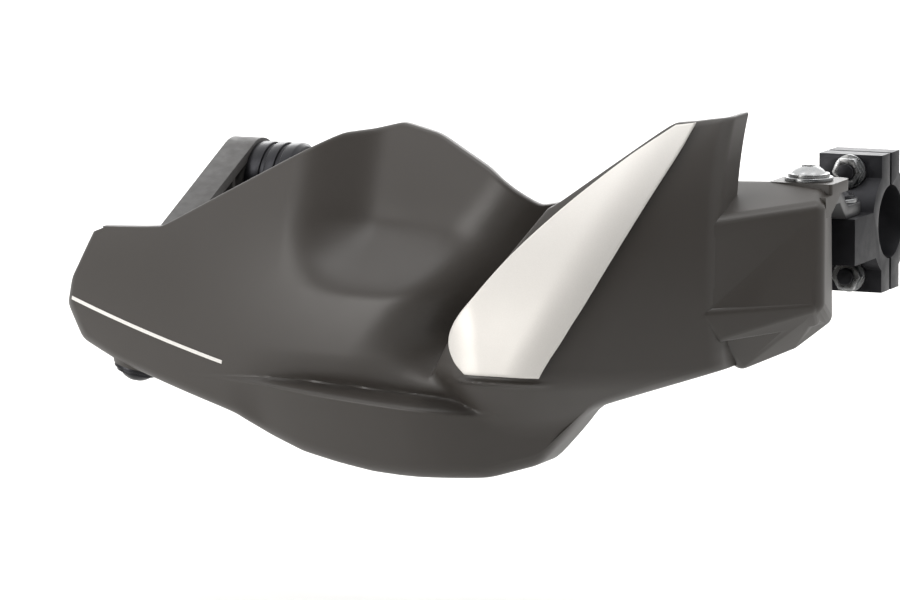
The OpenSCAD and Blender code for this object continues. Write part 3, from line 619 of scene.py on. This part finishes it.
def sheet_piece(name, outer, inner):
    """Closed sheet between two grids of points with the same columns and rows."""
    n, m = outer.shape[:2]
    points = np.concatenate([outer.reshape(-1, 3), inner.reshape(-1, 3)])

    def at(j, i, side):
        return side * n * m + j * m + i

    faces = []
    for j in range(n - 1):
        for i in range(m - 1):
            faces.append((at(j, i, 0), at(j + 1, i, 0), at(j + 1, i + 1, 0), at(j, i + 1, 0)))
            faces.append((at(j, i, 1), at(j, i + 1, 1), at(j + 1, i + 1, 1), at(j + 1, i, 1)))
        for i in (0, m - 1):
            faces.append((at(j, i, 0), at(j, i, 1), at(j + 1, i, 1), at(j + 1, i, 0)))
    for i in range(m - 1):
        for j in (0, n - 1):
            faces.append((at(j, i, 0), at(j, i, 1), at(j, i + 1, 1), at(j, i + 1, 0)))
    return mesh_piece(name, points, faces)


def hull_piece(name, points):
    """Convex skin over points in millimetres."""
    made = bmesh.new()
    for p in np.concatenate(points):
        made.verts.new(p * MM)
    bmesh.ops.convex_hull(made, input=made.verts)
    inside = [v for v in made.verts if not v.link_faces]
    bmesh.ops.delete(made, geom=inside, context="VERTS")
    data = bpy.data.meshes.new(name)
    made.to_mesh(data)
    made.free()
    piece = bpy.data.objects.new(name, data)
    bpy.context.scene.collection.objects.link(piece)
    outward(piece)
    return piece


def ball(centre, r, steps=32):
    turn = np.linspace(0, 2 * np.pi, steps, endpoint=False)[:, None]
    rise = np.linspace(-np.pi / 2, np.pi / 2, steps // 2 + 1)[None]
    level = np.cos(rise)
    spots = np.stack([np.cos(turn) * level, np.sin(turn) * level, 0 * turn + np.sin(rise)], -1)
    return np.array(centre) + r * spots.reshape(-1, 3)


def disc(centre, r, height, steps=48):
    """Two rings of points, round the centre and at a height above it."""
    turn = np.linspace(0, 2 * np.pi, steps, endpoint=False)
    ring = np.stack([r * np.cos(turn), r * np.sin(turn), 0 * turn], -1) + np.array(centre)
    return np.concatenate([ring, ring + [0, 0, height]])


def block(centre, size):
    signs = np.array([[x, y, z] for x in (-1, 1) for y in (-1, 1) for z in (-1, 1)])
    return np.array(centre) + signs * np.array(size) / 2


def apply(piece, kind, **settings):
    """Adds a modifier and applies it."""
    modifier = piece.modifiers.new(kind.lower(), kind)
    for name, value in settings.items():
        setattr(modifier, name, value)
    bpy.context.view_layer.objects.active = piece
    bpy.ops.object.modifier_apply(modifier=modifier.name)


def combine(piece, tool, operation):
    apply(piece, "BOOLEAN", object=tool, operation=operation, solver="MANIFOLD")
    bpy.data.objects.remove(tool)


# Lever pocket at the panel's inboard edge. Its walls and the sill along the foot of its front are
# hulled over balls, each given as [along the bar, forward, up] in millimetres.
POCKET_LEN, POCKET_H, POCKET_DEEP, POCKET_R, SILL_OUT = 29.0, 34.5, 14.0, 3.5, 1.6
POCKET_REACH, POCKET_LEAN, POCKET_ROOT, POCKET_SET = 62.5, 0.72, 4, 1.6
LEDGE_HEIGHT, LEDGE_STEP = 17.3, 3.6
PANEL_X = RIM_TOP[LAST_KEY][0] * KX
POCKET_X = PANEL_X + POCKET_LEN - POCKET_R
POCKET_FRONT = POCKET_REACH - POCKET_R
POCKET_BACK = POCKET_FRONT - POCKET_DEEP + POCKET_R
POCKET_IN = PANEL_X - POCKET_ROOT
POCKET_IN_FRONT = POCKET_FRONT + POCKET_LEAN * (POCKET_X - POCKET_IN) - POCKET_SET
LEDGE_TOP = LEDGE_HEIGHT * KZ
LEDGE_Z = LEDGE_TOP - POCKET_R
FRONT_TOP = LEDGE_Z - LEDGE_STEP
FRONT_LOW = FRONT_TOP - POCKET_H + 2 * POCKET_R
POCKET_BALLS = [
    [POCKET_IN, POCKET_IN_FRONT, FRONT_TOP - 4.5],
    [POCKET_X, POCKET_FRONT, FRONT_TOP],
    [POCKET_IN + 2, POCKET_IN_FRONT - 1, FRONT_LOW - 2],
    [POCKET_X, POCKET_FRONT, FRONT_LOW],
    [POCKET_IN + 1, POCKET_BACK + 7, LEDGE_Z],
    [POCKET_X - 2, POCKET_BACK, LEDGE_Z],
    [POCKET_IN + 7, POCKET_BACK + 10, FRONT_LOW - 17.5],
    [POCKET_X - 10, POCKET_BACK + 3, FRONT_LOW - 12],
    [POCKET_X - 1.5, POCKET_BACK, FRONT_LOW - 5]]
SILL_BALLS = [
    [POCKET_IN + 3, POCKET_IN_FRONT - 1.6 + SILL_OUT, FRONT_LOW - 2.2],
    [POCKET_X - 0.7, POCKET_FRONT + SILL_OUT, FRONT_LOW - 0.8],
    [POCKET_IN + 6, POCKET_IN_FRONT - 4, FRONT_LOW - 8],
    [POCKET_X - 2, POCKET_FRONT - 4, FRONT_LOW - 5]]
SILL_R = POCKET_R - 0.7
# The pocket's hollow: the steps of its rounding, and the block that opens its back
HOLLOW_STEPS, HOLLOW_END, HOLLOW_END_T = 12, 14, 4

# Tab on top of the pocket, the gussets under it, and the stay that passes between them
TAB_T, TAB_LEN, TAB_ROUND, TAB_CORNER, TAB_INSET = 3.4, 17.0, 4, 1, 0.1
TAB_BEVEL, TAB_BEVEL_ANGLE = 0.5, 40
STAY_W, STAY_T, STAY_GAP = 15.0, 4.0, 0.4
GUSSET_T, GUSSET_H, GUSSET_LEN, GUSSET_ROOT, GUSSET_TIP = 2.0, 6, 6, 4, 2
TAB_HALF = STAY_W / 2 + STAY_GAP + GUSSET_T
TAB_X = POCKET_X + POCKET_R - TAB_HALF - TAB_INSET
TAB_FRONT = POCKET_BACK + POCKET_R
STAY_TOP = LEDGE_TOP - TAB_T

# Screws: their thread, flange and washer, the room for the sleeve round them, and the flange's
# distance from the moulding's edge at the tab and at the lip
SCREW_D, SCREW_FLANGE, WASHER_D, SLEEVE_ROOM = 6.0, 12.5, 14.5, 1.3
SLEEVE_R = SCREW_D / 2 + SLEEVE_ROOM
TAB_MARGIN, LIP_MARGIN = 4, 1.5
INNER_Y = -(TAB_FRONT - TAB_LEN + SCREW_FLANGE / 2 + TAB_MARGIN)
# Outer screw: its key along the lower edge, the step that gives the edge's run there, and the pad
# round its hole, which stands proud of both faces of the lip
LIP_KEY, LIP_KEY_STEP = 4.1, 0.4
SEAT_RISE, SEAT_MARGIN, SEAT_SPREAD, SEAT_BAND = 0.5, 0.5, 1.25, 0.4
PAD_T = SKIN + 2 * SEAT_RISE
# Cuts go past the faces that they open by this
CUT_OVER = 1

# Ribs in the chin: their keys and thickness, how deep they root in the skin as a share of it, how
# far they stop before the lip's end, and the row of the face that they reach up to
RIB_KEYS = [6.5, 8.3, 10]
RIB_T, RIB_ROOT, RIB_CORNER_ROOT, RIB_SHORT, RIB_ROW = 2.0, 0.8, 0.7, 2.5, 1.25


def pocket_spot(p):
    return np.array([p[0], -p[1], p[2]])


def lip_frame():
    """Frame of the outer screw: its Z points up through the lip."""
    run = face_point(LIP_KEY + LIP_KEY_STEP, 2) - face_point(LIP_KEY - LIP_KEY_STEP, 2)
    spot = face_point(LIP_KEY, 2) + BACK * (LIP_DEPTH - SCREW_FLANGE / 2 - LIP_MARGIN)
    return Matrix.Translation(spot) @ Matrix.Rotation(-math.atan2(run[2], run[0]), 4, "Y")


def in_frame(turn, points):
    turn = np.array(turn)
    return points @ turn[:3, :3].T + turn[:3, 3]


def make_pocket():
    """The pocket, the sill along the foot of its front, and its hollow."""
    r = POCKET_R - SKIN
    spots = [pocket_spot(p) for p in POCKET_BALLS]
    inside = [ball(s, r, HOLLOW_STEPS) for s in spots]
    inside += [block([s[0], -POCKET_BACK + HOLLOW_END, s[2]], [2 * r, HOLLOW_END_T, 2 * r])
               for s in spots]
    return (hull_piece("pocket", [ball(s, POCKET_R) for s in spots]),
            hull_piece("sill", [ball(pocket_spot(p), SILL_R) for p in SILL_BALLS]),
            hull_piece("hollow", inside))


def make_tab():
    spots = []
    rear = -(TAB_FRONT - TAB_LEN + TAB_ROUND)
    for side in (-1, 1):
        x = TAB_X + side * (TAB_HALF - TAB_ROUND)
        spots.append(disc([x, rear, STAY_TOP], TAB_ROUND, TAB_T))
        x = TAB_X + side * (TAB_HALF - TAB_CORNER)
        spots.append(disc([x, -TAB_FRONT, STAY_TOP], TAB_CORNER, TAB_T))
    tab = hull_piece("tab", spots)
    apply(tab, "BEVEL", width=TAB_BEVEL * MM, segments=3, limit_method="ANGLE",
          angle_limit=math.radians(TAB_BEVEL_ANGLE))
    return tab


def make_stay_room():
    """Room for the stay through the pocket's end wall, under the tab."""
    tip = SCREW_FLANGE / 2 + LIP_MARGIN - INNER_Y + STAY_GAP
    tall = STAY_T + STAY_GAP
    return hull_piece("room", [block([TAB_X, POCKET_DEEP / 2 - tip, STAY_TOP - tall / 2],
                                     [STAY_W + 2 * STAY_GAP, POCKET_DEEP, tall])])


def make_gusset(side):
    x = TAB_X + side * (TAB_HALF - GUSSET_T / 2)
    root = block([x, -TAB_FRONT - GUSSET_ROOT, STAY_TOP - GUSSET_H / 2],
                 [GUSSET_T, GUSSET_ROOT, GUSSET_H])
    tip = block([x, -TAB_FRONT + GUSSET_LEN, STAY_TOP], [GUSSET_T, GUSSET_TIP, GUSSET_TIP / 2])
    return hull_piece("gusset", [root, tip])


def make_rib(u):
    """Rib between the face and the lip at the key u, hulled over three small blocks."""
    low = face_point(u, 2)
    down = unit(low - face_point(u, NEAR_EDGE))
    r = min(EDGE_ROUND, ROUND_SHARE * np.linalg.norm(low - face_point(u, 1)))
    corner = low - down * (r + 1) + BACK * SKIN * RIB_CORNER_ROOT
    rear = low - down * SKIN * RIB_ROOT + BACK * (LIP_DEPTH - RIB_SHORT)
    top = face_point(u, RIB_ROW) + BACK * SKIN * RIB_ROOT
    return hull_piece("rib", [block(corner, [RIB_T, 2, 2]), block(rear, [RIB_T, 2, 1]),
                              block(top, [RIB_T, 1.4, 2])])


def make_lip_pad(turn):
    seats = disc([0, 0, -SEAT_RISE], WASHER_D / 2 + SEAT_MARGIN, PAD_T)
    middle = disc([0, 0, SKIN / 2], WASHER_D / 2 + SEAT_SPREAD, SEAT_BAND)
    return hull_piece("pad", [in_frame(turn, seats), in_frame(turn, middle)])


def make_shell():
    shell = sheet_piece("guard_shell", *shell_grids())
    pocket, sill, hollow = make_pocket()
    combine(shell, pocket, "UNION")
    combine(shell, sill, "UNION")
    combine(shell, hollow, "DIFFERENCE")
    combine(shell, make_stay_room(), "DIFFERENCE")
    turn = lip_frame()
    parts = [make_tab(), make_lip_pad(turn)]
    parts += [make_rib(u) for u in RIB_KEYS]
    parts += [make_gusset(side) for side in (-1, 1)]
    for part in parts:
        combine(shell, part, "UNION")
    lip_hole = disc([0, 0, -2 * CUT_OVER], SLEEVE_R, PAD_T + 3 * CUT_OVER)
    tab_hole = disc([TAB_X, INNER_Y, STAY_TOP - CUT_OVER], SLEEVE_R, TAB_T + 2 * CUT_OVER)
    for hole in (in_frame(turn, lip_hole), tab_hole):
        combine(shell, hull_piece("hole", [hole]), "DIFFERENCE")
    return shell


# Inlay: its left and right edges on the band, from the top to the foot
INLAY_LEFT = [[151.6, 35.4], [138.3, 24.9], [123.2, 11.8], [109.4, -1.9], [98.2, -15.5],
              [93.2, -23], [92, -28.4], [94.2, -33.2], [98.1, -36.6]]
INLAY_RIGHT = [[156.8, 36.2], [153.7, 27.9], [148, 15.7], [140.9, 1.1], [133.2, -13.9],
               [129.2, -20.9], [126.2, -26.2], [123.2, -31], [120, -36.5]]
INLAY_T, TAPE_T, SKIN_GAP = 1.2, 0.6, 0.35
INLAY_EDGE_R = 0.8
# Its grid, and how much its rows crowd towards both ends
INLAY_COLS, INLAY_ROWS, INLAY_CROWD = 48, 150, 0.35


def curve(points, t):
    """Smooth curve through points, at places t between them."""
    p = np.array(points, float)
    p = np.concatenate([[2 * p[0] - p[1]], p, [2 * p[-1] - p[-2]]])
    k = np.clip(np.floor(t).astype(int), 0, len(points) - 2)
    f = (t - k)[:, None]
    a, b, c, d = p[k], p[k + 1], p[k + 2], p[k + 3]
    return 0.5 * (2 * b + (c - a) * f + (2 * a - 5 * b + 4 * c - d) * f ** 2
                  + (3 * b - a - 3 * c + d) * f ** 3)


def raised(x, z, reach, lift):
    """Points lifted off a relief by a distance along its normal."""
    gx = (reach(x + 1, z) - reach(x - 1, z)) / 2
    gz = (reach(x, z + 1) - reach(x, z - 1)) / 2
    normal = unit(np.stack([-gx, -np.ones_like(x), -gz], -1))
    return np.stack([x * KX, -reach(x, z), z * KZ], -1) + normal * lift[..., None]


def eased(steps):
    """Places from 0 to 1 that crowd towards both ends."""
    return 0.5 - 0.5 * np.cos(np.pi * np.linspace(0, 1, steps + 1))


def make_inlay():
    even = np.linspace(0, 1, INLAY_ROWS + 1)
    k = (len(INLAY_LEFT) - 1) * (INLAY_CROWD * eased(INLAY_ROWS) + (1 - INLAY_CROWD) * even)
    w = eased(INLAY_COLS)[:, None]
    left, right = curve(INLAY_LEFT, k), curve(INLAY_RIGHT, k)
    flat = left[None] * (1 - w[..., None]) + right[None] * w[..., None]
    # Distance of each point from the inlay's edge, which is rounded
    width = np.linalg.norm(right - left, axis=-1)[None]
    steps = np.linalg.norm(np.diff((left + right) / 2, axis=0), axis=-1)
    run = np.concatenate([[0], np.cumsum(steps)])[None]
    side = np.minimum(np.minimum(w, 1 - w) * width, np.minimum(run, run[:, -1:] - run))
    inset = np.clip(side / INLAY_EDGE_R, 0, 1)
    drop = INLAY_EDGE_R * (1 - np.sqrt(1 - (1 - inset) ** 2))
    x, z = flat[..., 0], flat[..., 1]
    base = SKIN_GAP + TAPE_T
    return sheet_piece("silver_inlay", raised(x, z, band, base + INLAY_T - drop),
                       raised(x, z, band, np.full_like(x, base)))


# Pinstripe along the outer end of the chin, as [along the bar, height] of its ends, its width, its
# grid, and how far it stands proud of the skin and reaches into it
STRIPE = [[-57.3, -29.8], [7.5, -41.7]]
STRIPE_W = 1.1
STRIPE_COLS, STRIPE_ROWS = 60, 4
STRIPE_PROUD, STRIPE_DEEP = 0.09, 0.2


def outer_face(x, z):
    """Reach of the shell's face outboard of the band."""
    return relief(x, z, 0)


def make_stripe():
    t = np.linspace(0, 1, STRIPE_COLS + 1)[:, None]
    w = np.linspace(-0.5, 0.5, STRIPE_ROWS + 1)[None] * STRIPE_W
    start, end = np.array(STRIPE)
    way = (end - start) / np.linalg.norm(end - start)
    x = start[0] + (end - start)[0] * t - way[1] * w
    z = start[1] + (end - start)[1] * t + way[0] * w
    return sheet_piece("pinstripe", raised(x, z, outer_face, np.full_like(x, STRIPE_PROUD)),
                       raised(x, z, outer_face, np.full_like(x, -STRIPE_DEEP)))


# Angles in degrees: faces that meet at less than FLAT are made one, edges sharper than BEVEL are
# broken, and what bends less than SMOOTH is shaded smooth
FLAT_ANGLE, BEVEL_ANGLE, SMOOTH_ANGLE = 0.5, 35, 34


def refine(node, bevel_mm):
    """Copy of a CAD node with its edges broken by a small bevel."""
    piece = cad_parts[node].copy()
    piece.data = piece.data.copy()
    piece.name = node + "_part"
    piece.data.name = piece.name
    for key in list(piece.keys()):
        del piece[key]
    piece.parent = None
    piece.data.materials.clear()
    bpy.context.scene.collection.objects.link(piece)
    outward(piece)
    made = bmesh.new()
    made.from_mesh(piece.data)
    bmesh.ops.dissolve_limit(made, angle_limit=math.radians(FLAT_ANGLE), verts=made.verts,
                             edges=made.edges)
    made.to_mesh(piece.data)
    made.free()
    apply(piece, "BEVEL", width=bevel_mm * MM, segments=3, limit_method="ANGLE",
          angle_limit=math.radians(BEVEL_ANGLE), use_clamp_overlap=True)
    return piece


def finish(piece, material, slot, *nodes):
    """Gives a piece its material, shading and body, and hides the nodes that it replaces. The slot
    is not used.
    """
    piece.data.materials.clear()
    piece.data.materials.append(material)
    for face in piece.data.polygons:
        face.use_smooth = True
    bpy.ops.object.select_all(action="DESELECT")
    piece.select_set(True)
    bpy.context.view_layer.objects.active = piece
    bpy.ops.object.shade_smooth_by_angle(angle=math.radians(SMOOTH_ANGLE))
    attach(piece, "root")
    if nodes:
        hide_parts(*nodes)


add_camera()
light_studio()
bpy.ops.mesh.primitive_plane_add(size=FLOOR_SIZE, location=(0, 0, cad_box[0][2] - FLOOR_DROP))
floor = bpy.context.object
floor.name = "floor"
floor.data.materials.append(floor_paint())

finish(make_shell(), moulded_abs(), "shell_plastic", "shell")
finish(make_inlay(), silver_lacquer(), "silver_paint", "inlay")
finish(make_stripe(), printed_ink(), "silver_paint")

# Hardware: each node's bevel in millimetres, its finish and its slot
black, bright, turned, blasted = black_zinc(), dull_and_shaded_zinc(), turned_anodised(), blasted_anodised()
brass, nylon, rubber, coat = turned_brass(), glass_filled_nylon(), moulded_rubber(), powder_coat()
foam = foam_tape()
for node, bevel_mm, material, slot in (
        ("outer_arm", 0.4, nylon, "arm_plastic"),
        ("outer_insert", 0.15, brass, "brass"),
        ("outer_sleeve", 0.1, bright, "bright_steel"),
        ("outer_washer", 0.2, black, "black_steel"),
        ("outer_screw", 0.2, black, "black_steel"),
        ("bar_end_spacer", 0.25, turned, "black_aluminium"),
        ("bar_end_washer", 0.2, bright, "bright_steel"),
        ("bar_end_screw", 0.3, black, "black_steel"),
        ("plug_washer", 0.2, bright, "bright_steel"),
        ("plug_rubber", 0.4, rubber, "plug_rubber"),
        ("plug_nut", 0.2, brass, "brass"),
        ("inner_sleeve", 0.1, bright, "bright_steel"),
        ("inner_washer", 0.2, bright, "bright_steel"),
        ("inner_screw", 0.2, bright, "bright_steel"),
        ("inner_nut", 0.25, bright, "bright_steel"),
        ("inner_stay", 0.4, coat, "stay_coat"),
        ("clamp_front", 0.5, blasted, "black_aluminium"),
        ("clamp_rear", 0.5, blasted, "black_aluminium"),
        ("clamp_screws", 0.2, black, "black_steel"),
        ("clamp_nuts", 0.2, bright, "bright_steel"),
        ("stay_screw", 0.2, black, "black_steel"),
        ("stay_washer", 0.2, bright, "bright_steel")):
    finish(refine(node, bevel_mm), material, slot, node)
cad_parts["inlay_tape"].data.materials.clear()
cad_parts["inlay_tape"].data.materials.append(foam)
